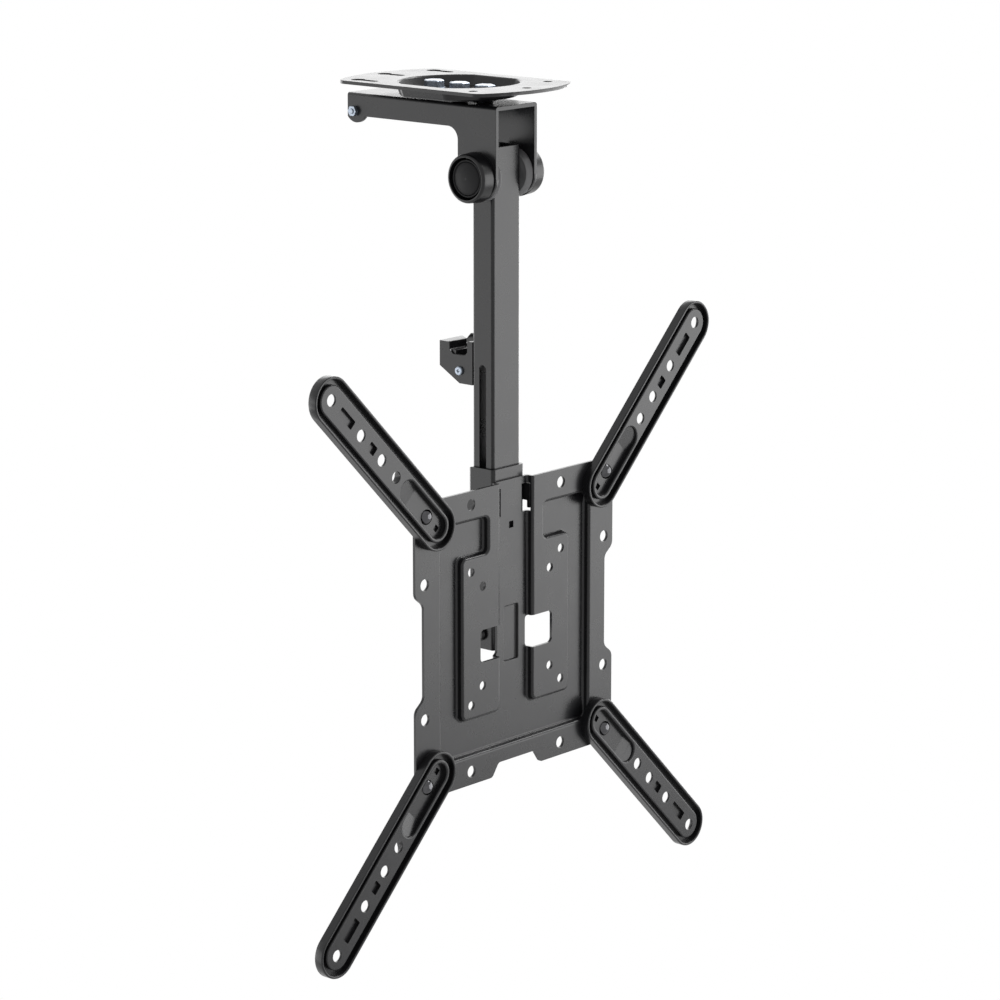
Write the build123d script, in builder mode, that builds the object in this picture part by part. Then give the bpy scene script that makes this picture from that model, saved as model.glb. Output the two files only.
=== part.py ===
"""Folding ceiling TV mount: ceiling plate, swivel bracket, folding column with a height
sleeve, and a 200 x 200 screen plate with four swing-out arms for up to 400 x 400.

Frame: origin on the swivel axis at the ceiling plate's top face, X to the right,
Y to the rear, Z up.  Millimetres.  Drawn as it hangs ready for use, column down.
"""
import os
from math import cos, radians, sin, sqrt

from build123d import *

os.makedirs("parts", exist_ok=True)

# Shared clearances
FACE_GAP = 0.05          # flat faces that slide on each other
SHAFT_GAP = 0.08         # round shaft in a moving hole, radial
SLEEVE_GAP = 0.15        # column in its sleeve, each side

# Ceiling plate
PLATE_T = 2.5
PLATE_W = 103.5
PLATE_FRONT_Y = -77.0
PLATE_REAR_Y = 85.0
PLATE_END_R = 100.0      # bulge of the two ends
PLATE_CORNER_R = 9.0
DISH_R = 44.0
DISH_HALF_W = 39.0
DISH_DEPTH = 7.5
DISH_TAPER = 20.0
SCREW_X = 40.5           # outer screw places
FRONT_HOLE_R = 3.4
FRONT_OUTER_Y = -49.0
FRONT_MID_Y = -64.0
KEY_R = 5.3
KEY_SLOT_W = 6.2
KEY_OUTER_Y, KEY_OUTER_SEAT_Y = 62.0, 46.0
KEY_MID_Y, KEY_MID_SEAT_Y = 73.5, 57.5

# Swivel joint: centre bolt and two guide bolts in arc slots
BOLT_R = 4.0             # M8
BOLT_AF = 13.0
BOLT_HEAD_H = 5.3
NUT_H = 6.5
WASHER_R, WASHER_T = 8.0, 1.6
GUIDE_PITCH_R = 24.5
SWIVEL_HALF_DEG = 15.0
SPACER_R, SPACER_T = 6.0, 2.6
DISH_UNDER_Z = -(DISH_DEPTH + PLATE_T)

# Swivel bracket, a folded U opened downward
BR_W = 44.8
BR_T = 3.0
BR_TOP_Z = DISH_UNDER_Z - SPACER_T - FACE_GAP
BR_FRONT_Y = -54.5
BR_LEG_REAR_Y = -18.0
BR_REAR_Y = 90.0
BR_ARM_LOW_Z = -29.4
BR_INNER_R = 9.5
BR_EAR_DROP = 17.0       # rounded foot of the ears below the pivot
PIVOT_Y, PIVOT_Z = -35.2, -64.2
CATCH_Y, CATCH_Z = 83.0, -25.9
LOBE_Y, LOBE_Z, LOBE_R = 81.6, -23.8, 10.6
CATCH_R = 2.0            # M4
CATCH_AF = 7.0
CATCH_HEAD_H, CATCH_NUT_H, CATCH_END = 2.8, 3.2, 1.0

# Pivot cups, caps and friction discs
CUP_R_IN, CUP_R_OUT = 18.3, 17.5
CUP_FACE_X = 33.7
CUP_BORE_R = 15.2
CUP_FLOOR_T = 1.5
CUP_EDGE_R = 2.2
CAP_R, CAP_T = 13.7, 1.4
CAP_ROOM = NUT_H + 0.1   # hollow over the nut
CAP_DOME_R, CAP_DOME_H = 11.6, 1.4
CAP_GROOVE_W, CAP_GROOVE_T = 0.9, 0.7
CAP_EDGE_R = 0.6
DISC_R_SMALL, DISC_R_LARGE = 15.5, 18.3

# Column tube
TUBE_W, TUBE_D, TUBE_T = 30.0, 20.0, 1.8
TUBE_R = 2.2
TUBE_TOP_Z, TUBE_LOW_Z = -43.1, -410.2
SLOT_W = 6.4
SLOT_TOP_Z, SLOT_LOW_Z = -201.7, -405.2

# Screen plate, pressed sheet
VESA_Z = -396.2          # centre of the screen hole pattern
SHEET_T = 2.2
SHEET_FRONT_Y = -55.0
PRESS_DEPTH = 5.4
PRESS_R = 2.2            # outside of the bends at the pressing's front edges
PRESS_FLOOR_R = 1.8      # inside of the bends at its floor
PRESS_BACK_R = 3.0
PATTERN_200, PATTERN_100, PATTERN_75 = 200.0, 100.0, 75.0
PLATE_MARGIN = 10.0      # from the outer holes' centres to the edge
PLATE_HALF = PATTERN_200 / 2 + PLATE_MARGIN
SHEET_CORNER_R = 4.0
WAIST_DEPTH, WAIST_Z, WAIST_END_Z = 9.0, 35.0, 42.0
WAIST_R = 7.0
NOTCH_DEPTH, NOTCH_X, NOTCH_END_X = 10.0, 20.0, 27.0
RECESS_X, RECESS_Z, RECESS_R = 82.4, 87.8, 4.0
PAD_X, PAD_Z, PAD_R = 60.0, 61.0, 5.0
CHANNEL_X = 17.8
NECK_X = 31.0
BIG_HOLE_R, PAD_HOLE_R = 4.4, 3.4
WINDOW_X, WINDOW_Z, WINDOW_SIDE, WINDOW_R = 27.75, -7.75, 24.5, 3.5
GAUGE_HOLE_Z, GAUGE_HOLE_SIDE = 76.0, 5.0

# Sleeve that rides on the column
SLEEVE_T = 2.0
SLEEVE_W = TUBE_W + 2 * (SLEEVE_GAP + SLEEVE_T)
SLEEVE_D = TUBE_D + 2 * (SLEEVE_GAP + SLEEVE_T)
SLEEVE_TOP_Z, SLEEVE_LOW_Z = VESA_Z + 118.5, VESA_Z - 17.0
SLEEVE_R = 2.6
SLEEVE_TOP_R = 3.5       # rounding of its upper rear corner
HEIGHT_BOLT_Z = VESA_Z - 5.6
HEIGHT_BOLT_R = 3.0      # M6
HEIGHT_AF = 10.0
HEIGHT_HEAD_R, HEIGHT_HEAD_H, HEIGHT_KEY_AF = 5.2, 3.2, 4.0
HEIGHT_NUT_H, HEIGHT_END = 5.0, 1.0

# Saddle round the sleeve, whose two teeth hook into slots of the screen plate
HOOK_GAP = 0.3
SADDLE_T = 2.2
SADDLE_H, SADDLE_DROP = 13.0, 7.2
SLOT_DROP, HOOK_SLOT_H = 5.6, 21.0
HOOK_SLOT_X = 11.6
HOOK_SLOT_Z1 = VESA_Z + PLATE_HALF - SLOT_DROP
TOOTH_Z1 = HOOK_SLOT_Z1 - HOOK_GAP
TOOTH_LIP_H, TOOTH_LIP_W = 5.3, 2.6
SADDLE_FRONT_Y = SHEET_FRONT_Y + SHEET_T + HOOK_GAP

# Locating emboss of the plate, keyed in a notch of the sleeve
KEY_HALF_X = 7.7
KEY_Z0, KEY_Z1 = VESA_Z - 26.5, VESA_Z + 15.0
KEY_DEPTH, KEY_R_IN, KEY_EDGE_R = 2.0, 1.5, 0.8
KEY_GAP = 0.5

# Latch bracket on the column's back
LATCH_T = 2.5
LATCH_PIN_Y, LATCH_PIN_Z = -13.0, VESA_Z + 187.8
LATCH_PIN_R = 2.0
LATCH_BACK = 31.8        # reach behind the column
LATCH_LOW, LATCH_TOP = 178.4, 210.3
LATCH_NOTCH = 199.3
LIP_TOP, LIP_LEDGE, LIP_LOW = 208.1, 202.3, 192.0
LIP_WALL, LIP_FRONT = 22.3, 17.0
LIP_T = 2.0
LIP_END_X = 9.5

# Arms
ARM_PIVOT = PATTERN_200 / 2
ARM_REAR_GAP = 0.1
ARM_R = 17.3
ARM_RIM_T = 2.0
ARM_RIM_H = 7.0          # rim height before the plate's front face
ARM_FLOOR_T = 2.0
ARM_RIB_R = 11.3
ARM_RIB_H = 6.0
ARM_SHEET_T = 1.8
ARM_INNER_T, ARM_OUTER_T = -11.7, 140.5
ARM_WELL_R, ARM_WELL_END_T = 8.3, 32.0
ARM_HOLES_T = (50.0, 50.0 * sqrt(2), 100.0, 100.0 * sqrt(2))
ARM_HOLE_R = 4.4
ARM_RIM_EDGE_R, ARM_RIB_EDGE_R = 0.8, 1.2
ARM_HOLLOW_T = 56.0
ARM_RAMP_T, ARM_RAMP_END_T, ARM_RAMP_H = 24.0, 41.0, 2.5
ARM_PRESS_W, ARM_PRESS_DEPTH, ARM_EDGE_R = 7.0, 2.6, 1.0
ARM_PRESSES = ((120.5, 18.0), (84.5, 8.5))
ARM_PEG_T, ARM_PEG_SIDE = -14.0, 4.4
ARM_SCREW_R = 3.0        # M6
ARM_HEAD_R, ARM_HEAD_H, ARM_DOME_R = 5.6, 3.2, 6.9
ARM_NUT_AF, ARM_NUT_H, ARM_SCREW_END = 10.0, 5.0, 1.0


def hexagon(across_flats):
    """Hexagon sketch by its width across flats."""
    return RegularPolygon(across_flats / 2, 6, major_radius=False)


def sheet_profile():
    """Outline of the screen plate with its waist and bottom notch, around the pattern's centre."""
    waist_x = PLATE_HALF - WAIST_DEPTH
    half = [(NOTCH_X, NOTCH_DEPTH - PLATE_HALF), (NOTCH_END_X, -PLATE_HALF),
            (PLATE_HALF, -PLATE_HALF), (PLATE_HALF, -WAIST_END_Z), (waist_x, -WAIST_Z),
            (waist_x, WAIST_Z), (PLATE_HALF, WAIST_END_Z), (PLATE_HALF, PLATE_HALF)]
    return half + [(-x, z) for x, z in reversed(half)]


# Ceiling plate
with BuildPart() as ceiling_plate:
    def dish_shape(grow):
        Circle(DISH_R + grow)
        Rectangle(2 * (DISH_HALF_W + grow), 3 * DISH_R, mode=Mode.INTERSECT)

    with BuildSketch(Plane.XY.offset(-PLATE_T)) as outline:
        y_side = sqrt(PLATE_END_R**2 - (PLATE_W / 2) ** 2)
        front_y = PLATE_FRONT_Y + PLATE_END_R - y_side
        rear_y = PLATE_REAR_Y - PLATE_END_R + y_side
        with BuildLine():
            ThreePointArc((-PLATE_W / 2, front_y), (0, PLATE_FRONT_Y), (PLATE_W / 2, front_y))
            Line((PLATE_W / 2, front_y), (PLATE_W / 2, rear_y))
            ThreePointArc((PLATE_W / 2, rear_y), (0, PLATE_REAR_Y), (-PLATE_W / 2, rear_y))
            Line((-PLATE_W / 2, rear_y), (-PLATE_W / 2, front_y))
        make_face()
        fillet(outline.vertices(), PLATE_CORNER_R)
    extrude(amount=PLATE_T)
    with BuildSketch() as dish_outer:
        dish_shape(PLATE_T)
        fillet(dish_outer.vertices(), 8)
    extrude(amount=DISH_UNDER_Z, taper=DISH_TAPER)
    under_edges = edges().filter_by_position(Axis.Z, DISH_UNDER_Z - 0.01, DISH_UNDER_Z + 0.01)
    fillet(under_edges, 3)
    with BuildSketch() as dish_inner:
        dish_shape(0)
        fillet(dish_inner.vertices(), 6)
    extrude(amount=-DISH_DEPTH, taper=DISH_TAPER, mode=Mode.SUBTRACT)
    dish_rim = edges().filter_by_position(Axis.Z, -0.01, 0.01).filter_by(
        lambda e: max(abs(e.bounding_box().min.Y), abs(e.bounding_box().max.Y)) < DISH_R + 1
        and max(abs(e.bounding_box().min.X), abs(e.bounding_box().max.X)) < DISH_HALF_W + 1)
    fillet(dish_rim, 1.8)
    with BuildSketch():
        with Locations((SCREW_X, FRONT_OUTER_Y), (-SCREW_X, FRONT_OUTER_Y), (0, FRONT_MID_Y)):
            Circle(FRONT_HOLE_R)
        with Locations((SCREW_X, KEY_OUTER_Y), (-SCREW_X, KEY_OUTER_Y), (0, KEY_MID_Y)):
            Circle(KEY_R)
        for x, big_y, seat_y in ((SCREW_X, KEY_OUTER_Y, KEY_OUTER_SEAT_Y),
                                 (-SCREW_X, KEY_OUTER_Y, KEY_OUTER_SEAT_Y),
                                 (0, KEY_MID_Y, KEY_MID_SEAT_Y)):
            with Locations((x, seat_y)):
                Circle(KEY_SLOT_W / 2)
            with Locations((x, (big_y + seat_y) / 2)):
                Rectangle(KEY_SLOT_W, big_y - seat_y)
        with Locations((0, 0), (0, GUIDE_PITCH_R), (0, -GUIDE_PITCH_R)):
            Circle(BOLT_R + SHAFT_GAP)
    extrude(amount=-30, mode=Mode.SUBTRACT)
ceiling_plate.part.label = "ceiling_plate"
export_step(ceiling_plate.part, "parts/ceiling_plate.step")

# Three hex bolts of the swivel with washers, spacers and nuts
GUIDE_PLACES = [(0, -GUIDE_PITCH_R), (0, 0), (0, GUIDE_PITCH_R)]
DISH_FLOOR_Z = -DISH_DEPTH
BR_WEB_LOW_Z = BR_TOP_Z - BR_T
UNDER_WASHER_Z = BR_WEB_LOW_Z - FACE_GAP - WASHER_T
with BuildPart() as swivel_bolts:
    with BuildSketch(Plane.XY.offset(DISH_FLOOR_Z + WASHER_T)):
        with Locations(*GUIDE_PLACES):
            hexagon(BOLT_AF)
    extrude(amount=BOLT_HEAD_H)
    chamfer(edges().group_by(Axis.Z)[-1], 0.6)
    with BuildSketch(Plane.XY.offset(DISH_FLOOR_Z + WASHER_T)):
        with Locations(*GUIDE_PLACES):
            Circle(BOLT_R)
    extrude(amount=UNDER_WASHER_Z - NUT_H - 3 - DISH_FLOOR_Z - WASHER_T)
    chamfer(edges().group_by(Axis.Z)[0], 0.7)
swivel_bolts.part.label = "swivel_bolts"
export_step(swivel_bolts.part, "parts/swivel_bolts.step")


def rings(places, outer_r, inner_r, low_z, height):
    """Flat rings at the given places."""
    low = (Align.CENTER, Align.CENTER, Align.MIN)
    with Locations(*[(x, y, low_z) for x, y in places]):
        Cylinder(outer_r, height, align=low)
        Cylinder(inner_r, height, align=low, mode=Mode.SUBTRACT)


with BuildPart() as swivel_washers:
    rings(GUIDE_PLACES, WASHER_R, BOLT_R, DISH_FLOOR_Z, WASHER_T)
    rings(GUIDE_PLACES, WASHER_R, BOLT_R, UNDER_WASHER_Z, WASHER_T)
swivel_washers.part.label = "swivel_washers"
export_step(swivel_washers.part, "parts/swivel_washers.step")

with BuildPart() as swivel_spacers:
    rings(GUIDE_PLACES, SPACER_R, BOLT_R, DISH_UNDER_Z - SPACER_T, SPACER_T)
swivel_spacers.part.label = "swivel_spacers"
export_step(swivel_spacers.part, "parts/swivel_spacers.step")

with BuildPart() as swivel_nuts:
    with BuildSketch(Plane.XY.offset(UNDER_WASHER_Z - NUT_H)):
        with Locations(*GUIDE_PLACES):
            hexagon(BOLT_AF)
            Circle(BOLT_R, mode=Mode.SUBTRACT)
    extrude(amount=NUT_H)
swivel_nuts.part.label = "swivel_nuts"
export_step(swivel_nuts.part, "parts/swivel_nuts.step")

# Swivel bracket
with BuildPart() as swivel_bracket:
    with BuildSketch(Plane.YZ) as side:
        with BuildLine():
            Polyline((BR_FRONT_Y, PIVOT_Z), (BR_FRONT_Y, BR_TOP_Z), (BR_REAR_Y, BR_TOP_Z),
                     (BR_REAR_Y, LOBE_Z), (LOBE_Y - LOBE_R, BR_ARM_LOW_Z),
                     (BR_LEG_REAR_Y, BR_ARM_LOW_Z),
                     (BR_LEG_REAR_Y, PIVOT_Z), (BR_FRONT_Y, PIVOT_Z))
        make_face()
        inner_corner = side.vertices().filter_by(
            lambda v: abs(v.X - BR_LEG_REAR_Y) < 0.1 and abs(v.Y - BR_ARM_LOW_Z) < 0.1)
        fillet(inner_corner, BR_INNER_R)
        with Locations((LOBE_Y, LOBE_Z)):
            Circle(LOBE_R)
        with Locations(((BR_FRONT_Y + BR_LEG_REAR_Y) / 2, PIVOT_Z)):
            Ellipse((BR_LEG_REAR_Y - BR_FRONT_Y) / 2, BR_EAR_DROP)
        with Locations((BR_REAR_Y + LOBE_R, LOBE_Z)):
            Rectangle(2 * LOBE_R, 4 * LOBE_R, mode=Mode.SUBTRACT)
    extrude(amount=BR_W / 2, both=True)
    with BuildSketch(Plane.XZ.offset(-BR_REAR_Y - 5)):
        with Locations((0, BR_WEB_LOW_Z - 60)):
            Rectangle(BR_W - 2 * BR_T, 120)
    extrude(amount=BR_REAR_Y - BR_FRONT_Y + 20, mode=Mode.SUBTRACT)
    bends = edges().filter_by(Axis.Y).filter_by_position(Axis.Z, BR_TOP_Z - 0.01, BR_TOP_Z + 0.01)
    fillet(bends, 2.2)
    with BuildSketch(Plane.XY.offset(BR_TOP_Z + 1)):
        Circle(BOLT_R + SHAFT_GAP)
        with BuildLine():
            upper = CenterArc((0, 0), GUIDE_PITCH_R, 90 - SWIVEL_HALF_DEG, 2 * SWIVEL_HALF_DEG)
        SlotArc(upper, 2 * (BOLT_R + SHAFT_GAP) + 0.3)
        with BuildLine():
            lower = CenterArc((0, 0), GUIDE_PITCH_R, 270 - SWIVEL_HALF_DEG, 2 * SWIVEL_HALF_DEG)
        SlotArc(lower, 2 * (BOLT_R + SHAFT_GAP) + 0.3)
    extrude(amount=-BR_T - 2, mode=Mode.SUBTRACT)
    with BuildSketch(Plane.YZ):
        with Locations((PIVOT_Y, PIVOT_Z)):
            Circle(BOLT_R)
        with Locations((CATCH_Y, CATCH_Z)):
            Circle(CATCH_R)
    extrude(amount=BR_W, both=True, mode=Mode.SUBTRACT)
swivel_bracket.part.label = "swivel_bracket"
export_step(swivel_bracket.part, "parts/swivel_bracket.step")

# Catch bolt across the bracket's rear end, its nut on the left
with BuildPart() as catch_bolt:
    with BuildSketch(Plane.YZ.offset(BR_W / 2)):
        with Locations((CATCH_Y, CATCH_Z)):
            hexagon(CATCH_AF)
    extrude(amount=CATCH_HEAD_H)
    with BuildSketch(Plane.YZ.offset(BR_W / 2)):
        with Locations((CATCH_Y, CATCH_Z)):
            Circle(CATCH_R)
    extrude(amount=-BR_W - CATCH_NUT_H - CATCH_END)
    chamfer(edges().filter_by(GeomType.CIRCLE).group_by(Axis.X)[0], CATCH_END / 2)
catch_bolt.part.label = "catch_bolt"
export_step(catch_bolt.part, "parts/catch_bolt.step")

with BuildPart() as catch_nut:
    with BuildSketch(Plane.YZ.offset(-BR_W / 2 - CATCH_NUT_H)):
        with Locations((CATCH_Y, CATCH_Z)):
            hexagon(CATCH_AF)
            Circle(CATCH_R, mode=Mode.SUBTRACT)
    extrude(amount=CATCH_NUT_H)
catch_nut.part.label = "catch_nut"
export_step(catch_nut.part, "parts/catch_nut.step")

# Pivot bolt, nut, cups, caps and friction discs
CUP_X0 = BR_W / 2
CUP_SEAT_X = CUP_X0 + CUP_FLOOR_T
PIVOT_AXIS = Axis((0, PIVOT_Y, PIVOT_Z), (1, 0, 0))
with BuildPart() as pivot_bolt:
    with BuildSketch(Plane.YZ.offset(-CUP_SEAT_X)):
        with Locations((PIVOT_Y, PIVOT_Z)):
            hexagon(BOLT_AF)
    extrude(amount=-BOLT_HEAD_H)
    with BuildSketch(Plane.YZ.offset(-CUP_SEAT_X)):
        with Locations((PIVOT_Y, PIVOT_Z)):
            Circle(BOLT_R)
    extrude(amount=2 * CUP_SEAT_X + NUT_H)
pivot_bolt.part.label = "pivot_bolt"
export_step(pivot_bolt.part, "parts/pivot_bolt.step")

with BuildPart() as pivot_nut:
    with BuildSketch(Plane.YZ.offset(CUP_SEAT_X)):
        with Locations((PIVOT_Y, PIVOT_Z)):
            hexagon(BOLT_AF)
            Circle(BOLT_R, mode=Mode.SUBTRACT)
    extrude(amount=NUT_H)
pivot_nut.part.label = "pivot_nut"
export_step(pivot_nut.part, "parts/pivot_nut.step")

for side_name, sign in (("left", -1), ("right", 1)):
    with BuildPart() as pivot_cup:
        with BuildSketch(Plane.XZ.offset(-PIVOT_Y)) as cup_half:
            with BuildLine():
                Polyline((sign * CUP_X0, PIVOT_Z + BOLT_R), (sign * CUP_X0, PIVOT_Z + CUP_R_IN),
                         (sign * CUP_FACE_X, PIVOT_Z + CUP_R_OUT),
                         (sign * CUP_FACE_X, PIVOT_Z + CUP_BORE_R),
                         (sign * CUP_SEAT_X, PIVOT_Z + CUP_BORE_R),
                         (sign * CUP_SEAT_X, PIVOT_Z + BOLT_R),
                         (sign * CUP_X0, PIVOT_Z + BOLT_R))
            make_face()
            fillet(cup_half.vertices().filter_by(
                lambda v: abs(v.X) > CUP_FACE_X - 0.01 and v.Y > PIVOT_Z + CUP_R_OUT - 0.01), CUP_EDGE_R)
        revolve(axis=PIVOT_AXIS)
    pivot_cup.part.label = f"pivot_cup_{side_name}"
    export_step(pivot_cup.part, f"parts/pivot_cup_{side_name}.step")

    with BuildPart() as pivot_cap:
        rim_x = CUP_SEAT_X + CAP_ROOM + CAP_T
        with BuildSketch(Plane.XZ.offset(-PIVOT_Y)) as cap_half:
            with BuildLine():
                Polyline((sign * (rim_x + CAP_DOME_H), PIVOT_Z), (sign * (CUP_SEAT_X + CAP_ROOM), PIVOT_Z),
                         (sign * (CUP_SEAT_X + CAP_ROOM), PIVOT_Z + CAP_R - CAP_T),
                         (sign * CUP_SEAT_X, PIVOT_Z + CAP_R - CAP_T),
                         (sign * CUP_SEAT_X, PIVOT_Z + CAP_R), (sign * rim_x, PIVOT_Z + CAP_R),
                         (sign * rim_x, PIVOT_Z + CAP_DOME_R + CAP_GROOVE_W),
                         (sign * (rim_x - CAP_GROOVE_T), PIVOT_Z + CAP_DOME_R + CAP_GROOVE_W / 2),
                         (sign * rim_x, PIVOT_Z + CAP_DOME_R))
                TangentArc((sign * (rim_x + CAP_DOME_H), PIVOT_Z), (sign * rim_x, PIVOT_Z + CAP_DOME_R),
                           tangent=(0, 1))
            make_face()
            fillet(cap_half.vertices().filter_by(
                lambda v: abs(v.X) > rim_x - 0.01 and v.Y > PIVOT_Z + CAP_R - 0.01), CAP_EDGE_R)
        revolve(axis=PIVOT_AXIS)
    pivot_cap.part.label = f"pivot_cap_{side_name}"
    export_step(pivot_cap.part, f"parts/pivot_cap_{side_name}.step")

    with BuildPart() as friction_disc:
        near_x = TUBE_W / 2 + FACE_GAP
        far_x = BR_W / 2 - BR_T
        near_r, far_r = ((DISC_R_SMALL, DISC_R_LARGE) if sign > 0
                         else (DISC_R_LARGE, DISC_R_SMALL))
        with BuildSketch(Plane.XZ.offset(-PIVOT_Y)):
            with BuildLine():
                Polyline((sign * near_x, PIVOT_Z + BOLT_R), (sign * near_x, PIVOT_Z + near_r),
                         (sign * far_x, PIVOT_Z + far_r), (sign * far_x, PIVOT_Z + BOLT_R),
                         (sign * near_x, PIVOT_Z + BOLT_R))
            make_face()
        revolve(axis=PIVOT_AXIS)
    friction_disc.part.label = f"friction_disc_{side_name}"
    export_step(friction_disc.part, f"parts/friction_disc_{side_name}.step")

# Column tube
with BuildPart() as column_tube:
    with BuildSketch(Plane.XY.offset(TUBE_LOW_Z)):
        with Locations((0, PIVOT_Y)):
            RectangleRounded(TUBE_W, TUBE_D, TUBE_R)
            RectangleRounded(TUBE_W - 2 * TUBE_T, TUBE_D - 2 * TUBE_T, TUBE_R - 1.2,
                             mode=Mode.SUBTRACT)
    extrude(amount=TUBE_TOP_Z - TUBE_LOW_Z)
    with BuildSketch(Plane.YZ):
        with Locations((PIVOT_Y, PIVOT_Z)):
            Circle(BOLT_R + SHAFT_GAP)
        with Locations((PIVOT_Y, (SLOT_TOP_Z + SLOT_LOW_Z) / 2)):
            SlotOverall(SLOT_TOP_Z - SLOT_LOW_Z, SLOT_W, rotation=90)
    extrude(amount=TUBE_W, both=True, mode=Mode.SUBTRACT)
column_tube.part.label = "column_tube"
export_step(column_tube.part, "parts/column_tube.step")

# Latch bracket welded on the column's back: two cheeks, a web and a lip folded from the left cheek
TUBE_BACK_Y = PIVOT_Y + TUBE_D / 2


def latch_face(*points):
    """Face in the YZ plane from (distance behind the column, height above the pattern centre)."""
    Polygon(*[(TUBE_BACK_Y + y, VESA_Z + z) for y, z in points], align=None)


with BuildPart() as latch_bracket:
    with BuildSketch(Plane.YZ.offset(-TUBE_W / 2)) as left_cheek:
        latch_face((0, LATCH_LOW), (12.5, LATCH_LOW), (LATCH_BACK, LATCH_LOW + 11.2),
                   (LATCH_BACK, LIP_TOP), (LIP_WALL, LIP_TOP), (LIP_WALL, LATCH_NOTCH + 3.5),
                   (LIP_WALL - 3.5, LATCH_NOTCH), (7.5, LATCH_NOTCH), (5.0, LATCH_NOTCH + 2.7),
                   (5.0, LATCH_TOP), (0, LATCH_TOP))
        fillet(left_cheek.vertices().filter_by_position(Axis.X, TUBE_BACK_Y + 3, TUBE_BACK_Y + 30), 1.5)
    extrude(amount=LATCH_T)
    with BuildSketch(Plane.YZ.offset(TUBE_W / 2 - LATCH_T)) as right_cheek:
        latch_face((0, LATCH_LOW), (12.5, LATCH_LOW), (LATCH_BACK, LATCH_LOW + 11.2),
                   (LATCH_BACK, LATCH_TOP - 6.5), (LATCH_BACK - 6.1, LATCH_TOP), (0, LATCH_TOP))
        fillet(right_cheek.vertices().filter_by_position(Axis.X, TUBE_BACK_Y + 3, TUBE_BACK_Y + 40), 1.5)
    extrude(amount=LATCH_T)
    with BuildSketch(Plane.YZ.offset(LATCH_T / 2 - TUBE_W / 2)):
        latch_face((0, LATCH_LOW), (LATCH_T, LATCH_LOW), (LATCH_T, LATCH_TOP), (0, LATCH_TOP))
    extrude(amount=TUBE_W - LATCH_T)
    with BuildSketch(Plane.YZ.offset(LATCH_T / 2 - TUBE_W / 2)) as lip:
        latch_face((LATCH_BACK, LIP_TOP), (LIP_WALL, LIP_TOP), (LIP_WALL, LIP_LEDGE),
                   (LIP_FRONT, LIP_LEDGE), (LIP_FRONT, LIP_LOW), (LIP_FRONT + LIP_T, LIP_LOW),
                   (LIP_FRONT + LIP_T, LIP_LEDGE - LIP_T), (LIP_WALL + LIP_T, LIP_LEDGE - LIP_T),
                   (LIP_WALL + LIP_T, LIP_TOP - LIP_T), (LATCH_BACK, LIP_TOP - LIP_T))
        fillet(lip.vertices().filter_by_position(Axis.X, TUBE_BACK_Y + LIP_FRONT - 1,
                                                 TUBE_BACK_Y + LATCH_BACK - 1), LIP_T / 3)
    extrude(amount=LIP_END_X + TUBE_W / 2 - LATCH_T / 2)
    with BuildSketch(Plane.XY.offset(VESA_Z + LIP_LEDGE + LIP_T)):
        Polygon((LIP_END_X - 6.3, TUBE_BACK_Y + LIP_WALL - 1), (LIP_END_X + 1, TUBE_BACK_Y + LATCH_BACK + 1),
                (LIP_END_X + 1, TUBE_BACK_Y + LIP_WALL - 1), align=None)
    extrude(amount=LATCH_TOP - LIP_LEDGE, mode=Mode.SUBTRACT)
    with BuildSketch(Plane.YZ):
        with Locations((LATCH_PIN_Y, LATCH_PIN_Z)):
            Circle(LATCH_PIN_R)
    extrude(amount=TUBE_W, both=True, mode=Mode.SUBTRACT)
latch_bracket.part.label = "latch_bracket"
export_step(latch_bracket.part, "parts/latch_bracket.step")

with BuildPart() as latch_screw:
    with BuildSketch(Plane.YZ.offset(-TUBE_W / 2)):
        with Locations((LATCH_PIN_Y, LATCH_PIN_Z)):
            Circle(3.3)
    extrude(amount=-2.0)
    fillet(edges().filter_by(GeomType.CIRCLE).group_by(Axis.X)[0], 0.8)
    with BuildSketch(Plane.YZ.offset(-TUBE_W / 2 - 2.0)):
        with Locations((LATCH_PIN_Y, LATCH_PIN_Z)):
            Rectangle(0.8, 3.2)
            Rectangle(3.2, 0.8)
    extrude(amount=1.1, mode=Mode.SUBTRACT)
    with BuildSketch(Plane.YZ.offset(-TUBE_W / 2)):
        with Locations((LATCH_PIN_Y, LATCH_PIN_Z)):
            Circle(LATCH_PIN_R)
    extrude(amount=TUBE_W + 3.6)
latch_screw.part.label = "latch_screw"
export_step(latch_screw.part, "parts/latch_screw.step")

with BuildPart() as latch_sleeve:
    with BuildSketch(Plane.YZ.offset(-TUBE_W / 2 + LATCH_T)):
        with Locations((LATCH_PIN_Y, LATCH_PIN_Z)):
            Circle(3.6)
            Circle(LATCH_PIN_R, mode=Mode.SUBTRACT)
    extrude(amount=TUBE_W - 2 * LATCH_T)
latch_sleeve.part.label = "latch_sleeve"
export_step(latch_sleeve.part, "parts/latch_sleeve.step")

with BuildPart() as latch_nut:
    with BuildSketch(Plane.YZ.offset(TUBE_W / 2)):
        with Locations((LATCH_PIN_Y, LATCH_PIN_Z)):
            hexagon(7)
            Circle(LATCH_PIN_R, mode=Mode.SUBTRACT)
    extrude(amount=3.2)
latch_nut.part.label = "latch_nut"
export_step(latch_nut.part, "parts/latch_nut.step")

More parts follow.
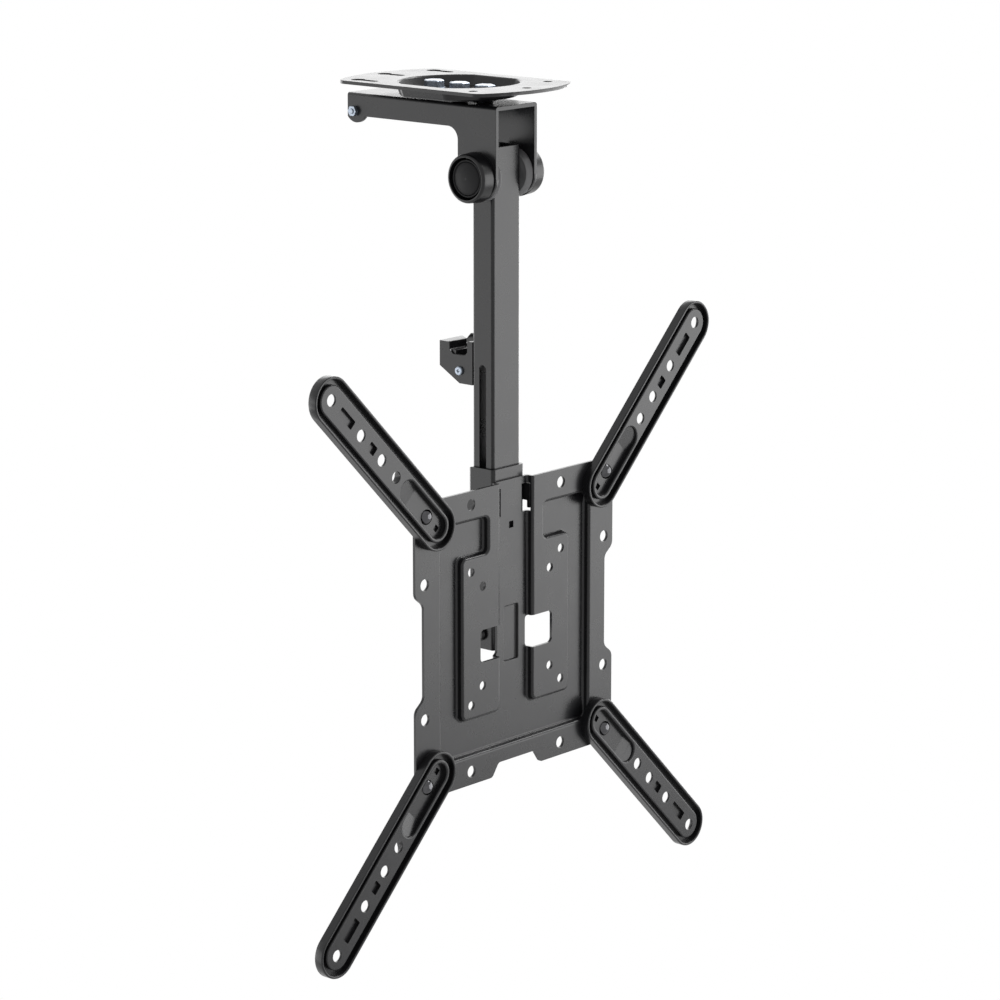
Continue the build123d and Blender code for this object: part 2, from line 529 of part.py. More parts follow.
# Sleeve on the column, notched for the plate's emboss
with BuildPart() as height_sleeve:
    with BuildSketch(Plane.XY.offset(SLEEVE_LOW_Z)):
        with Locations((0, PIVOT_Y)):
            RectangleRounded(SLEEVE_W, SLEEVE_D, SLEEVE_R)
            RectangleRounded(SLEEVE_W - 2 * SLEEVE_T, SLEEVE_D - 2 * SLEEVE_T, SLEEVE_R - 0.9,
                             mode=Mode.SUBTRACT)
    extrude(amount=SLEEVE_TOP_Z - SLEEVE_LOW_Z)
    with BuildSketch(Plane.XZ.offset(-PIVOT_Y)):
        key_notch_z = KEY_Z1 + SHEET_T + KEY_GAP
        with Locations((0, key_notch_z)):
            Rectangle(2 * (KEY_HALF_X + SHEET_T + KEY_GAP), 2 * (key_notch_z - SLEEVE_LOW_Z),
                      align=(Align.CENTER, Align.MAX))
    extrude(amount=SLEEVE_D, mode=Mode.SUBTRACT)
    with BuildSketch(Plane.YZ):
        with Locations((PIVOT_Y, HEIGHT_BOLT_Z)):
            Circle(HEIGHT_BOLT_R)
        with Locations((PIVOT_Y + SLEEVE_D / 2, SLEEVE_TOP_Z)):
            Rectangle(2 * SLEEVE_TOP_R, 2 * SLEEVE_TOP_R)
        with Locations((PIVOT_Y + SLEEVE_D / 2 - SLEEVE_TOP_R, SLEEVE_TOP_Z - SLEEVE_TOP_R)):
            Circle(SLEEVE_TOP_R, mode=Mode.SUBTRACT)
    extrude(amount=SLEEVE_W, both=True, mode=Mode.SUBTRACT)
height_sleeve.part.label = "height_sleeve"
export_step(height_sleeve.part, "parts/height_sleeve.step")

# Saddle: its cheeks fall to a strap behind the sleeve, its teeth end in lips that hang down
with BuildPart() as sleeve_saddle:
    strap_y = PIVOT_Y + SLEEVE_D / 2
    with BuildSketch(Plane.YZ):
        Polygon((SADDLE_FRONT_Y, TOOTH_Z1), (PIVOT_Y, TOOTH_Z1), (strap_y, TOOTH_Z1 - SADDLE_DROP),
                (strap_y + SADDLE_T, TOOTH_Z1 - SADDLE_DROP),
                (strap_y + SADDLE_T, TOOTH_Z1 - SADDLE_DROP - SADDLE_H),
                (strap_y, TOOTH_Z1 - SADDLE_DROP - SADDLE_H), (PIVOT_Y, TOOTH_Z1 - SADDLE_H),
                (SADDLE_FRONT_Y + TOOTH_LIP_W, TOOTH_Z1 - SADDLE_H),
                (SADDLE_FRONT_Y + TOOTH_LIP_W, TOOTH_Z1 - SADDLE_H - TOOTH_LIP_H),
                (SADDLE_FRONT_Y, TOOTH_Z1 - SADDLE_H - TOOTH_LIP_H), align=None)
    extrude(amount=SLEEVE_W / 2 + SADDLE_T, both=True)
    with BuildSketch(Plane.XY.offset(TOOTH_Z1 + 1)):
        with Locations((0, strap_y)):
            Rectangle(SLEEVE_W, 2 * (strap_y - SADDLE_FRONT_Y), align=(Align.CENTER, Align.MAX))
    extrude(amount=-2 * (SADDLE_H + SADDLE_DROP), mode=Mode.SUBTRACT)
    fillet(edges().filter_by(Axis.Z).group_by(Axis.Y)[-1], SADDLE_T * 0.9)
sleeve_saddle.part.label = "sleeve_saddle"
export_step(sleeve_saddle.part, "parts/sleeve_saddle.step")

# Height bolt with nut, through the sleeve and the column's slot
with BuildPart() as height_bolt:
    with BuildSketch(Plane.YZ.offset(-SLEEVE_W / 2)):
        with Locations((PIVOT_Y, HEIGHT_BOLT_Z)):
            Circle(HEIGHT_HEAD_R)
    extrude(amount=-HEIGHT_HEAD_H)
    fillet(edges().filter_by(GeomType.CIRCLE).group_by(Axis.X)[0], HEIGHT_HEAD_H / 2)
    with BuildSketch(Plane.YZ.offset(-SLEEVE_W / 2 - HEIGHT_HEAD_H)):
        with Locations((PIVOT_Y, HEIGHT_BOLT_Z)):
            hexagon(HEIGHT_KEY_AF)
    extrude(amount=HEIGHT_HEAD_H * 0.6, mode=Mode.SUBTRACT)
    with BuildSketch(Plane.YZ.offset(-SLEEVE_W / 2)):
        with Locations((PIVOT_Y, HEIGHT_BOLT_Z)):
            Circle(HEIGHT_BOLT_R)
    extrude(amount=SLEEVE_W + HEIGHT_NUT_H + HEIGHT_END)
height_bolt.part.label = "height_bolt"
export_step(height_bolt.part, "parts/height_bolt.step")

with BuildPart() as height_nut:
    with BuildSketch(Plane.YZ.offset(SLEEVE_W / 2)):
        with Locations((PIVOT_Y, HEIGHT_BOLT_Z)):
            hexagon(HEIGHT_AF)
            Circle(HEIGHT_BOLT_R, mode=Mode.SUBTRACT)
    extrude(amount=HEIGHT_NUT_H)
height_nut.part.label = "height_nut"
export_step(height_nut.part, "parts/height_nut.step")

# Screen plate
SHEET_PLANE = Plane(origin=(0, SHEET_FRONT_Y, VESA_Z), x_dir=(1, 0, 0), z_dir=(0, -1, 0))


def recess_shape(sketch, grow):
    """Pressed-in region: recess less the two pads, with the channel open to the top."""
    Rectangle(2 * (RECESS_X + grow), 2 * (RECESS_Z + grow))
    with Locations((0, PLATE_HALF)):
        Rectangle(2 * (CHANNEL_X + grow), 2 * PLATE_HALF)
    for side in (-1, 1):
        with Locations((side * (PAD_X + CHANNEL_X) / 2, 0)):
            Rectangle(PAD_X - CHANNEL_X - 2 * grow, 2 * (PAD_Z - grow), mode=Mode.SUBTRACT)
        with Locations((side * (NECK_X + CHANNEL_X) / 2, PAD_Z - grow)):
            Rectangle(NECK_X - CHANNEL_X - 2 * grow, 2 * (RECESS_Z - PAD_Z + 2 * grow),
                      mode=Mode.SUBTRACT)
    fillet(sketch.vertices().filter_by(
        lambda v: abs(abs(v.X) - PAD_X + grow) < 0.01 or v.Y < 0 and abs(v.X) < NECK_X), PAD_R - grow)
    fillet(sketch.vertices().filter_by(
        lambda v: abs(abs(v.X) - RECESS_X - grow) < 0.01 or abs(abs(v.X) - NECK_X + grow) < 0.01),
        RECESS_R + grow)


def pressed_edges(part, depth):
    """Edges of the pressing at one depth behind the plate's front, without the plate's outline."""
    level = part.edges().filter_by_position(Axis.Y, SHEET_FRONT_Y + depth - 0.01,
                                            SHEET_FRONT_Y + depth + 0.01)
    return level.filter_by(lambda e: abs(e.center().X) < RECESS_X + 2 * SHEET_T
                           and abs(e.center().Z - VESA_Z) < RECESS_Z + 2 * SHEET_T)


with BuildPart() as vesa_plate:
    with BuildSketch(SHEET_PLANE) as blank:
        with BuildLine():
            Polyline(*sheet_profile(), close=True)
        make_face()
        fillet(blank.vertices().filter_by(lambda v: abs(v.Y) > WAIST_END_Z + 1), SHEET_CORNER_R)
        fillet(blank.vertices().filter_by(lambda v: abs(v.Y) < WAIST_END_Z + 1), WAIST_R)
    extrude(amount=-SHEET_T)
    with BuildSketch(SHEET_PLANE) as pressed_back:
        recess_shape(pressed_back, SHEET_T)
        Rectangle(2 * PLATE_HALF, 2 * PLATE_HALF, mode=Mode.INTERSECT)
    extrude(amount=-PRESS_DEPTH - SHEET_T)
    fillet(pressed_edges(vesa_plate, PRESS_DEPTH + SHEET_T), PRESS_BACK_R)
    with BuildSketch(SHEET_PLANE) as pressed_front:
        recess_shape(pressed_front, 0)
    extrude(amount=-PRESS_DEPTH, mode=Mode.SUBTRACT)
    fillet(pressed_edges(vesa_plate, 0), PRESS_R)
    fillet(pressed_edges(vesa_plate, PRESS_DEPTH), PRESS_FLOOR_R)
    key_middle = (KEY_Z0 + KEY_Z1) / 2 - VESA_Z
    with BuildSketch(SHEET_PLANE.offset(-PRESS_DEPTH - SHEET_T)):
        with Locations((0, key_middle)):
            RectangleRounded(2 * (KEY_HALF_X + SHEET_T), KEY_Z1 - KEY_Z0 + 2 * SHEET_T,
                             KEY_R_IN + SHEET_T)
    extrude(amount=-KEY_DEPTH)
    with BuildSketch(SHEET_PLANE.offset(-PRESS_DEPTH)):
        with Locations((0, key_middle)):
            RectangleRounded(2 * KEY_HALF_X, KEY_Z1 - KEY_Z0, KEY_R_IN)
    extrude(amount=-KEY_DEPTH, mode=Mode.SUBTRACT)
    fillet(pressed_edges(vesa_plate, PRESS_DEPTH).filter_by(
        lambda e: abs(e.center().X) < KEY_HALF_X + 0.1 and abs(e.center().Z - VESA_Z) < PAD_Z), KEY_EDGE_R)
    fillet(pressed_edges(vesa_plate, PRESS_DEPTH + KEY_DEPTH).filter_by(
        lambda e: abs(e.center().X) < KEY_HALF_X + 0.1), KEY_EDGE_R)
    with BuildSketch(SHEET_PLANE):
        with GridLocations(PATTERN_100, PATTERN_200, 2, 2):
            Circle(BIG_HOLE_R)
        with GridLocations(PATTERN_200, PATTERN_100, 2, 2):
            Circle(BIG_HOLE_R)
        for pattern in (PATTERN_100, PATTERN_75):
            with GridLocations(pattern, pattern, 2, 2):
                Circle(PAD_HOLE_R)
        with GridLocations(2 * ARM_PIVOT, 2 * ARM_PIVOT, 2, 2):
            Circle(ARM_SCREW_R)
        with Locations((WINDOW_X, WINDOW_Z), (-WINDOW_X, WINDOW_Z)):
            RectangleRounded(WINDOW_SIDE, WINDOW_SIDE, WINDOW_R)
        with Locations((0, GAUGE_HOLE_Z)):
            Rectangle(GAUGE_HOLE_SIDE, GAUGE_HOLE_SIDE)
    extrude(amount=-2 * (PRESS_DEPTH + SHEET_T), mode=Mode.SUBTRACT)
    with BuildSketch(SHEET_PLANE.offset(-SHEET_T)):
        hook_slot_w = CHANNEL_X + SHEET_T + HOOK_GAP - HOOK_SLOT_X
        for side in (-1, 1):
            with Locations((side * (HOOK_SLOT_X + hook_slot_w / 2),
                            HOOK_SLOT_Z1 - HOOK_SLOT_H / 2 - VESA_Z)):
                Rectangle(hook_slot_w, HOOK_SLOT_H)
    extrude(amount=-2 * PRESS_DEPTH, mode=Mode.SUBTRACT)
vesa_plate.part.label = "vesa_plate"
export_step(vesa_plate.part, "parts/vesa_plate.step")

# Four swing-out arms, drawn pointing outward at 45 degrees
CORNERS = (("upper_left", -1, 1), ("upper_right", 1, 1), ("lower_left", -1, -1), ("lower_right", 1, -1))


def arm_slot(radius, t0, t1):
    """Rounded bar along the arm between two centre distances from its pivot."""
    with Locations(((t0 + t1) / 2, 0)):
        SlotCenterToCenter(t1 - t0, 2 * radius)


for tag, sx, sz in CORNERS:
    base = Plane(origin=(sx * ARM_PIVOT, SHEET_FRONT_Y, VESA_Z + sz * ARM_PIVOT),
                 x_dir=(sx, 0, sz), z_dir=(0, -1, 0))
    with BuildPart() as arm:
        with BuildSketch(base.offset(ARM_REAR_GAP)):
            arm_slot(ARM_R, ARM_INNER_T, ARM_OUTER_T)
        extrude(amount=ARM_RIM_H - ARM_REAR_GAP)
        with BuildSketch(base.offset(ARM_RIM_H)):
            arm_slot(ARM_R - ARM_RIM_T, ARM_INNER_T, ARM_OUTER_T)
        extrude(amount=-(ARM_RIM_H - ARM_RIB_H), mode=Mode.SUBTRACT)
        with BuildSketch(base.offset(ARM_RIB_H)):
            arm_slot(ARM_R - ARM_RIM_T, ARM_INNER_T, ARM_OUTER_T)
            with Locations(((ARM_INNER_T + ARM_OUTER_T) / 2, 0)):
                SlotCenterToCenter(ARM_OUTER_T - ARM_INNER_T, 2 * ARM_RIB_R, mode=Mode.SUBTRACT)
        extrude(amount=-(ARM_RIB_H - ARM_REAR_GAP - ARM_FLOOR_T), mode=Mode.SUBTRACT)
        with BuildSketch(base.offset(ARM_REAR_GAP)):
            arm_slot(ARM_RIB_R - ARM_SHEET_T, ARM_HOLLOW_T, ARM_OUTER_T)
        extrude(amount=ARM_RIB_H - ARM_SHEET_T - ARM_REAR_GAP, mode=Mode.SUBTRACT)
        with BuildPart(mode=Mode.SUBTRACT):
            with BuildSketch(base):
                arm_slot(ARM_WELL_R, ARM_INNER_T, ARM_WELL_END_T)
            extrude(amount=2 * ARM_RIM_H)
            with BuildSketch(Plane(origin=base.origin, x_dir=base.x_dir, z_dir=base.y_dir)):
                floor_h = ARM_REAR_GAP + ARM_SHEET_T
                with BuildLine():
                    Polyline((-ARM_RAMP_END_T, -floor_h), (ARM_RAMP_T, -floor_h),
                             (ARM_RAMP_END_T, -floor_h - ARM_RAMP_H), (ARM_RAMP_END_T, -2 * ARM_RIM_H),
                             (-ARM_RAMP_END_T, -2 * ARM_RIM_H), close=True)
                make_face()
            extrude(amount=2 * ARM_R, both=True, mode=Mode.INTERSECT)
        for height, radius in ((ARM_RIM_H, ARM_RIM_EDGE_R), (ARM_RIB_H, ARM_RIB_EDGE_R)):
            level_y = SHEET_FRONT_Y - height
            fillet(edges().filter_by_position(Axis.Y, level_y - 0.01, level_y + 0.01), radius)
        with BuildSketch(base.offset(ARM_RIB_H - ARM_PRESS_DEPTH - ARM_SHEET_T)):
            for t, length in ARM_PRESSES:
                with Locations((t, 0)):
                    Rectangle(length + 2 * ARM_SHEET_T, ARM_PRESS_W + 2 * ARM_SHEET_T)
        extrude(amount=ARM_PRESS_DEPTH + ARM_SHEET_T / 2)
        with BuildSketch(base.offset(ARM_RIB_H)):
            for t, length in ARM_PRESSES:
                with Locations((t, 0)):
                    RectangleRounded(length, ARM_PRESS_W, ARM_EDGE_R)
        extrude(amount=-ARM_PRESS_DEPTH, mode=Mode.SUBTRACT)
        with BuildSketch(base):
            for t in ARM_HOLES_T:
                with Locations((t, 0)):
                    Circle(ARM_HOLE_R)
            Circle(ARM_SCREW_R + SHAFT_GAP)
            with Locations((ARM_PEG_T, 0)):
                Rectangle(ARM_PEG_SIDE, ARM_PEG_SIDE)
        extrude(amount=2 * ARM_RIM_H, mode=Mode.SUBTRACT)
    arm.part.label = f"arm_{tag}"
    export_step(arm.part, f"parts/arm_{tag}.step")

# Domed arm screws and their nuts behind the plate
SCREW_SEAT_Y = SHEET_FRONT_Y - ARM_REAR_GAP - ARM_SHEET_T - FACE_GAP
ARM_SCREW_REACH = SHEET_FRONT_Y + SHEET_T + ARM_NUT_H + ARM_SCREW_END - SCREW_SEAT_Y
with BuildPart() as arm_screws:
    for tag, sx, sz in CORNERS:
        seat = Plane(origin=(sx * ARM_PIVOT, SCREW_SEAT_Y, VESA_Z + sz * ARM_PIVOT), z_dir=(0, -1, 0))
        with BuildPart():
            with BuildSketch(seat):
                Circle(ARM_HEAD_R)
            extrude(amount=ARM_HEAD_H)
            with Locations(seat.offset(ARM_HEAD_H - ARM_DOME_R)):
                Sphere(ARM_DOME_R, mode=Mode.INTERSECT)
            with BuildSketch(seat):
                Circle(ARM_SCREW_R)
            extrude(amount=-ARM_SCREW_REACH)
arm_screws.part.label = "arm_screws"
export_step(arm_screws.part, "parts/arm_screws.step")

with BuildPart() as arm_nuts:
    with BuildSketch(Plane.XZ.offset(-SHEET_FRONT_Y - SHEET_T)):
        with Locations((0, VESA_Z)):
            with GridLocations(2 * ARM_PIVOT, 2 * ARM_PIVOT, 2, 2):
                hexagon(ARM_NUT_AF)
                Circle(ARM_SCREW_R, mode=Mode.SUBTRACT)
    extrude(amount=-ARM_NUT_H)
arm_nuts.part.label = "arm_nuts"
export_step(arm_nuts.part, "parts/arm_nuts.step")
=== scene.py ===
"""Looks of the folding ceiling TV mount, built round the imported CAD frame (metres, +Z up)."""
from math import cos, pi, radians, sin

import bpy
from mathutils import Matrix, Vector

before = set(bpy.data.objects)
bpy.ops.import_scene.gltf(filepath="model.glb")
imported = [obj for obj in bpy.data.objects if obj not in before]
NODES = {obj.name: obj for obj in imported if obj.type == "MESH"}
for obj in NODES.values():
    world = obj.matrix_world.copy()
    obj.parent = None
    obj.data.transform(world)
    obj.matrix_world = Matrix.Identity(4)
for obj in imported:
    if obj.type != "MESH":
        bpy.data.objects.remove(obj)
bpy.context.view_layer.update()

# Camera, fitted to the photograph: place, aim and focal length
CAMERA_PLACE = (-1.9861, -1.7744, 0.3014)
CAMERA_YAW = radians(48.85)
CAMERA_PITCH = radians(-12.92)
CAMERA_LENS_MM = 133.1
SENSOR_WIDTH_MM = 36.0
CAMERA_REACH = 50.0

# Stage: floor a room's height under the ceiling, world greys by height from straight down to straight up
FLOOR_Z = -2.4
FLOOR_SIZE = 14.0
FLOOR_GREY = 0.5
FLOOR_ROUGHNESS = 0.9
WORLD_GREYS = ((0.0, 0.03), (0.32, 0.05), (0.44, 0.30), (0.60, 0.30), (0.78, 0.45), (1.0, 0.30))
LAMP_AIM = (0, 0, -0.3)

# Black powder coat
COAT_COLOUR = (0.015, 0.015, 0.0165)
COAT_SHINE = 0.35
COAT_ROUGHNESS = 0.28
COAT_NODES = ["ceiling_plate", "swivel_bracket", "column_tube", "latch_bracket", "height_sleeve",
              "sleeve_saddle", "vesa_plate", "height_bolt", "arm_upper_left", "arm_upper_right",
              "arm_lower_left", "arm_lower_right"]

# Bright zinc, the finish of every fastener that isn't listed elsewhere
ZINC_COLOUR = (0.36, 0.41, 0.48)
ZINC_METALLIC = 0.6
ZINC_ROUGHNESS = 0.275

# Polished steel, blackened
OXIDE_COLOUR = (0.075, 0.075, 0.079)
OXIDE_ROUGHNESS = 0.115
OXIDE_NODES = ["arm_screws"]

# Moulded nylon: matt caps and spacers, polished cups, and discs whose pale grey is painted highlight for
# the sheen on their dark sides
CAP_COLOUR = (0.008, 0.008, 0.009)
CAP_SHINE = 0.15
CAP_ROUGHNESS = 0.45
CAP_NODES = ["pivot_cap_left", "pivot_cap_right", "swivel_spacers"]
CUP_COLOUR = (0.006, 0.006, 0.007)
CUP_SHINE = 0.36
CUP_ROUGHNESS = 0.30
CUP_NODES = ["pivot_cup_left", "pivot_cup_right"]
# Painted highlight: this pale grey stands in for the bright sheen on the discs' dark nylon, not for a
# paler nylon
DISC_COLOUR_PAINTED_HIGHLIGHT = (0.20, 0.20, 0.205)
DISC_SHINE = 0.6
DISC_ROUGHNESS = 0.35
DISC_NODES = ["friction_disc_left", "friction_disc_right"]

# Hairline rounding of the edges, by what is pressed, moulded or turned
PRESSED_EDGE = 0.00025
MOULDED_EDGE = 0.0003
TURNED_EDGE = 0.0002
EDGE_ANGLE = radians(35)
WELD_DISTANCE = 0.000002

# The part of a noise's range that its ramps spread out
NOISE_LOW = 0.3
NOISE_HIGH = 0.7


def add_camera():
    """Camera at the photograph's viewpoint."""
    data = bpy.data.cameras.new("camera")
    data.lens = CAMERA_LENS_MM
    data.sensor_width = SENSOR_WIDTH_MM
    data.clip_end = CAMERA_REACH
    camera = bpy.data.objects.new("camera", data)
    camera.location = CAMERA_PLACE
    camera.rotation_euler = (radians(90) + CAMERA_PITCH, 0, -CAMERA_YAW)
    bpy.context.scene.collection.objects.link(camera)
    bpy.context.scene.camera = camera


def new_material(name):
    """Node material, with its tree and its shader."""
    material = bpy.data.materials.new(name)
    material.use_nodes = True
    return material, material.node_tree, material.node_tree.nodes["Principled BSDF"]


def noise(tree, scale, detail):
    """Noise over the object's own coordinates, with its scale in cells per metre."""
    coords = tree.nodes.new("ShaderNodeTexCoord")
    texture = tree.nodes.new("ShaderNodeTexNoise")
    texture.inputs["Scale"].default_value = scale
    texture.inputs["Detail"].default_value = detail
    texture.inputs["Roughness"].default_value = 0.55
    tree.links.new(coords.outputs["Object"], texture.inputs["Vector"])
    return texture.outputs["Fac"]


def around(tree, value, middle, reach):
    """A noise as a value that stays within reach of the middle."""
    remap = tree.nodes.new("ShaderNodeMapRange")
    remap.inputs["From Min"].default_value = NOISE_LOW
    remap.inputs["From Max"].default_value = NOISE_HIGH
    remap.inputs["To Min"].default_value = middle - reach
    remap.inputs["To Max"].default_value = middle + reach
    tree.links.new(value, remap.inputs["Value"])
    return remap.outputs["Result"]


def shades(tree, value, colour, darker, lighter):
    """A noise as a colour that wanders between a darker and a lighter shade."""
    ramp = tree.nodes.new("ShaderNodeValToRGB")
    low, high = ramp.color_ramp.elements
    low.position, high.position = NOISE_LOW, NOISE_HIGH
    low.color = (*(c * darker for c in colour), 1)
    high.color = (*(c * lighter for c in colour), 1)
    tree.links.new(value, ramp.inputs["Fac"])
    return ramp.outputs["Color"]


def bump(tree, height, strength, depth, under=None):
    """Bump from a noise, over another bump if one is given."""
    node = tree.nodes.new("ShaderNodeBump")
    node.inputs["Strength"].default_value = strength
    node.inputs["Distance"].default_value = depth
    tree.links.new(height, node.inputs["Height"])
    if under:
        tree.links.new(under, node.inputs["Normal"])
    return node.outputs["Normal"]


def coat_material():
    """Satin black powder coat with its fine orange peel."""
    material, tree, shader = new_material("black_powder_coat")
    cloudy = noise(tree, scale=45, detail=4)
    peel = bump(tree, noise(tree, scale=1500, detail=2), strength=0.10, depth=0.00005)
    grain = bump(tree, noise(tree, scale=5200, detail=1), strength=0.08, depth=0.00002, under=peel)
    colour = shades(tree, cloudy, COAT_COLOUR, darker=0.9, lighter=1.1)
    shader.inputs["Specular IOR Level"].default_value = COAT_SHINE
    tree.links.new(colour, shader.inputs["Base Color"])
    tree.links.new(around(tree, cloudy, COAT_ROUGHNESS, reach=0.025), shader.inputs["Roughness"])
    tree.links.new(grain, shader.inputs["Normal"])
    return material


def zinc_material():
    """Bright zinc plating, faintly blue and cloudy."""
    material, tree, shader = new_material("bright_zinc")
    cloudy = noise(tree, scale=260, detail=3)
    skin = bump(tree, noise(tree, scale=2400, detail=2), strength=0.2, depth=0.00003)
    colour = shades(tree, cloudy, ZINC_COLOUR, darker=0.86, lighter=1.08)
    shader.inputs["Metallic"].default_value = ZINC_METALLIC
    tree.links.new(colour, shader.inputs["Base Color"])
    tree.links.new(around(tree, cloudy, ZINC_ROUGHNESS, reach=0.055), shader.inputs["Roughness"])
    tree.links.new(skin, shader.inputs["Normal"])
    return material


def oxide_material():
    """Polished steel blackened in oil."""
    material, tree, shader = new_material("black_oxide")
    cloudy = noise(tree, scale=320, detail=3)
    skin = bump(tree, noise(tree, scale=3000, detail=2), strength=0.15, depth=0.00002)
    colour = shades(tree, cloudy, OXIDE_COLOUR, darker=0.85, lighter=1.15)
    shader.inputs["Metallic"].default_value = 1.0
    tree.links.new(colour, shader.inputs["Base Color"])
    tree.links.new(around(tree, cloudy, OXIDE_ROUGHNESS, reach=0.025), shader.inputs["Roughness"])
    tree.links.new(skin, shader.inputs["Normal"])
    return material


def nylon_material(name, colour, shine, roughness):
    """Moulded nylon with a faint moulding texture, from matt to polished."""
    material, tree, shader = new_material(name)
    cloudy = noise(tree, scale=120, detail=4)
    skin = bump(tree, noise(tree, scale=1900, detail=2), strength=0.15, depth=0.00004)
    shader.inputs["Specular IOR Level"].default_value = shine
    tree.links.new(shades(tree, cloudy, colour, darker=0.8, lighter=1.2), shader.inputs["Base Color"])
    tree.links.new(around(tree, cloudy, roughness, reach=0.03), shader.inputs["Roughness"])
    tree.links.new(skin, shader.inputs["Normal"])
    return material


def dress(node, material, edge):
    """Gives a CAD node its finish, and rounds its edges by a hair as pressing and coating do."""
    obj = NODES[node]
    obj.data.materials.clear()
    obj.data.materials.append(material)
    weld = obj.modifiers.new("weld", "WELD")
    weld.merge_threshold = WELD_DISTANCE
    bevel = obj.modifiers.new("edges", "BEVEL")
    bevel.width = edge
    bevel.segments = 2
    bevel.limit_method = "ANGLE"
    bevel.angle_limit = EDGE_ANGLE
    bevel.use_clamp_overlap = True
    bevel.harden_normals = True


def dress_all():
    """Every node in its finish; what no list names is a zinc plated fastener."""
    zinc = zinc_material()
    finishes = {node: (zinc, TURNED_EDGE) for node in NODES}
    cap = nylon_material("matt_nylon", CAP_COLOUR, CAP_SHINE, CAP_ROUGHNESS)
    cup = nylon_material("polished_nylon", CUP_COLOUR, CUP_SHINE, CUP_ROUGHNESS)
    # The discs' pale grey is painted highlight for the sheen on their sides
    disc = nylon_material("nylon_with_painted_highlight", DISC_COLOUR_PAINTED_HIGHLIGHT, DISC_SHINE, DISC_ROUGHNESS)
    finishes.update(dict.fromkeys(COAT_NODES, (coat_material(), PRESSED_EDGE)))
    finishes.update(dict.fromkeys(OXIDE_NODES, (oxide_material(), TURNED_EDGE)))
    finishes.update(dict.fromkeys(CAP_NODES, (cap, MOULDED_EDGE)))
    finishes.update(dict.fromkeys(CUP_NODES, (cup, MOULDED_EDGE)))
    finishes.update(dict.fromkeys(DISC_NODES, (disc, MOULDED_EDGE)))
    for node, (material, edge) in finishes.items():
        dress(node, material, edge)


def background_ray(tree):
    """1 where the camera, a mirror or a glass looks at the background, 0 where it only lights."""
    path = tree.nodes.new("ShaderNodeLightPath")
    seen = path.outputs["Is Camera Ray"]
    for ray in ("Is Glossy Ray", "Is Transmission Ray"):
        either = tree.nodes.new("ShaderNodeMath")
        either.operation = "MAXIMUM"
        tree.links.new(seen, either.inputs[0])
        tree.links.new(path.outputs[ray], either.inputs[1])
        seen = either.outputs["Value"]
    return seen


def white_floor():
    """Floor well below the mount: white to look at, a soft grey in the light that it gives."""
    bpy.ops.mesh.primitive_grid_add(x_subdivisions=4, y_subdivisions=4, size=FLOOR_SIZE,
                                    location=(0, 0, FLOOR_Z))
    floor = bpy.context.object
    floor.name = "floor"
    material, tree, shader = new_material("floor")
    shader.inputs["Base Color"].default_value = (FLOOR_GREY, FLOOR_GREY, FLOOR_GREY, 1)
    shader.inputs["Roughness"].default_value = FLOOR_ROUGHNESS
    white = tree.nodes.new("ShaderNodeEmission")
    white.inputs["Strength"].default_value = 1.0
    mix = tree.nodes.new("ShaderNodeMixShader")
    tree.links.new(background_ray(tree), mix.inputs["Fac"])
    tree.links.new(shader.outputs["BSDF"], mix.inputs[1])
    tree.links.new(white.outputs["Emission"], mix.inputs[2])
    tree.links.new(mix.outputs["Shader"], tree.nodes["Material Output"].inputs["Surface"])
    floor.data.materials.append(material)


def grey_by_height(tree):
    """The world's grey for each direction, from straight down to straight up."""
    coords = tree.nodes.new("ShaderNodeTexCoord")
    split = tree.nodes.new("ShaderNodeSeparateXYZ")
    remap = tree.nodes.new("ShaderNodeMapRange")
    remap.inputs["From Min"].default_value = -1.0
    remap.inputs["From Max"].default_value = 1.0
    band = tree.nodes.new("ShaderNodeValToRGB")
    stops = band.color_ramp.elements
    for place, _ in WORLD_GREYS[1:-1]:
        stops.new(place)
    for stop, (_, grey) in zip(stops, WORLD_GREYS):
        stop.color = (grey, grey, grey, 1)
    tree.links.new(coords.outputs["Generated"], split.inputs["Vector"])
    tree.links.new(split.outputs["Z"], remap.inputs["Value"])
    tree.links.new(remap.outputs["Result"], band.inputs["Fac"])
    return band.outputs["Color"]


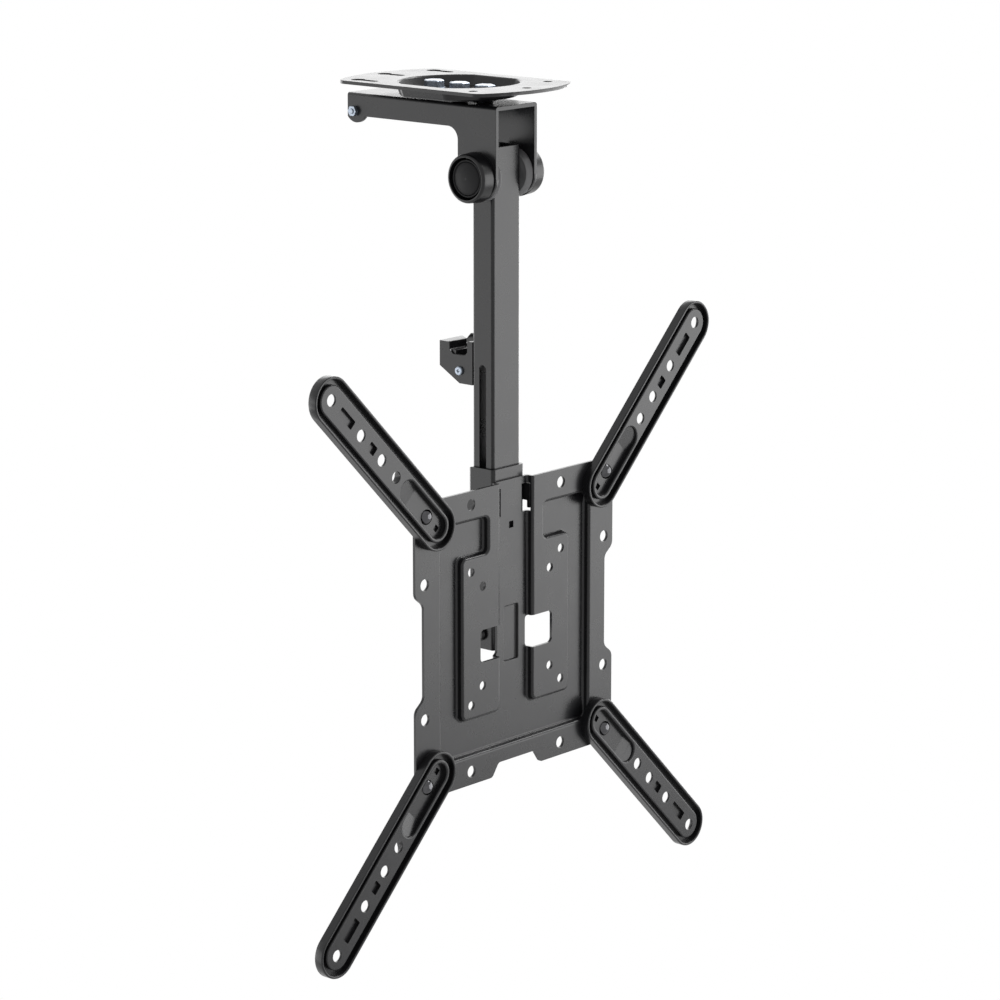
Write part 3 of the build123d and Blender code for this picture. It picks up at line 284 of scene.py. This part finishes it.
def studio_world():
    """White backdrop to look at; the light it gives is dark from below and even from eye level up."""
    world = bpy.data.worlds.new("studio")
    bpy.context.scene.world = world
    world.use_nodes = True
    tree = world.node_tree
    tree.nodes.clear()
    output = tree.nodes.new("ShaderNodeOutputWorld")
    studio = tree.nodes.new("ShaderNodeBackground")
    tree.links.new(grey_by_height(tree), studio.inputs["Color"])
    white = tree.nodes.new("ShaderNodeBackground")
    white.inputs["Color"].default_value = (1, 1, 1, 1)
    mix = tree.nodes.new("ShaderNodeMixShader")
    tree.links.new(background_ray(tree), mix.inputs["Fac"])
    tree.links.new(studio.outputs["Background"], mix.inputs[1])
    tree.links.new(white.outputs["Background"], mix.inputs[2])
    tree.links.new(mix.outputs["Shader"], output.inputs["Surface"])


def softbox(name, azimuth, elevation, distance, width, height, radiance):
    """Rectangular lamp aimed at the mount's middle; radiance is what a mirror would show of it."""
    data = bpy.data.lights.new(name, "AREA")
    data.shape = "RECTANGLE"
    data.size, data.size_y = width, height
    data.energy = radiance * pi * width * height
    lamp = bpy.data.objects.new(name, data)
    a, e = radians(azimuth), radians(elevation)
    toward = Vector((sin(a) * cos(e), -cos(a) * cos(e), sin(e)))
    lamp.location = Vector(LAMP_AIM) + toward * distance
    lamp.rotation_euler = toward.to_track_quat("Z", "Y").to_euler()
    bpy.context.scene.collection.objects.link(lamp)


def add_lamps():
    """Boxes for the flat faces, strips for the highlights of rounded edges."""
    softbox("front_box", azimuth=50, elevation=-1, distance=3.0, width=3.6, height=1.95, radiance=3.2)
    softbox("left_box", azimuth=229, elevation=-12, distance=3.5, width=2.6, height=2.2, radiance=1.4)
    softbox("back_box", azimuth=131, elevation=14, distance=4.0, width=3.4, height=2.6, radiance=1.5)
    softbox("rear_box", azimuth=183, elevation=-10, distance=3.5, width=2.8, height=2.0, radiance=2.6)
    softbox("upper_strip", azimuth=78, elevation=42, distance=3.0, width=1.6, height=0.8, radiance=8.0)
    softbox("right_strip", azimuth=99, elevation=-4, distance=3.0, width=0.7, height=1.2, radiance=7.0)


add_camera()
bpy.context.scene.view_settings.view_transform = "Standard"
dress_all()
white_floor()
studio_world()
add_lamps()
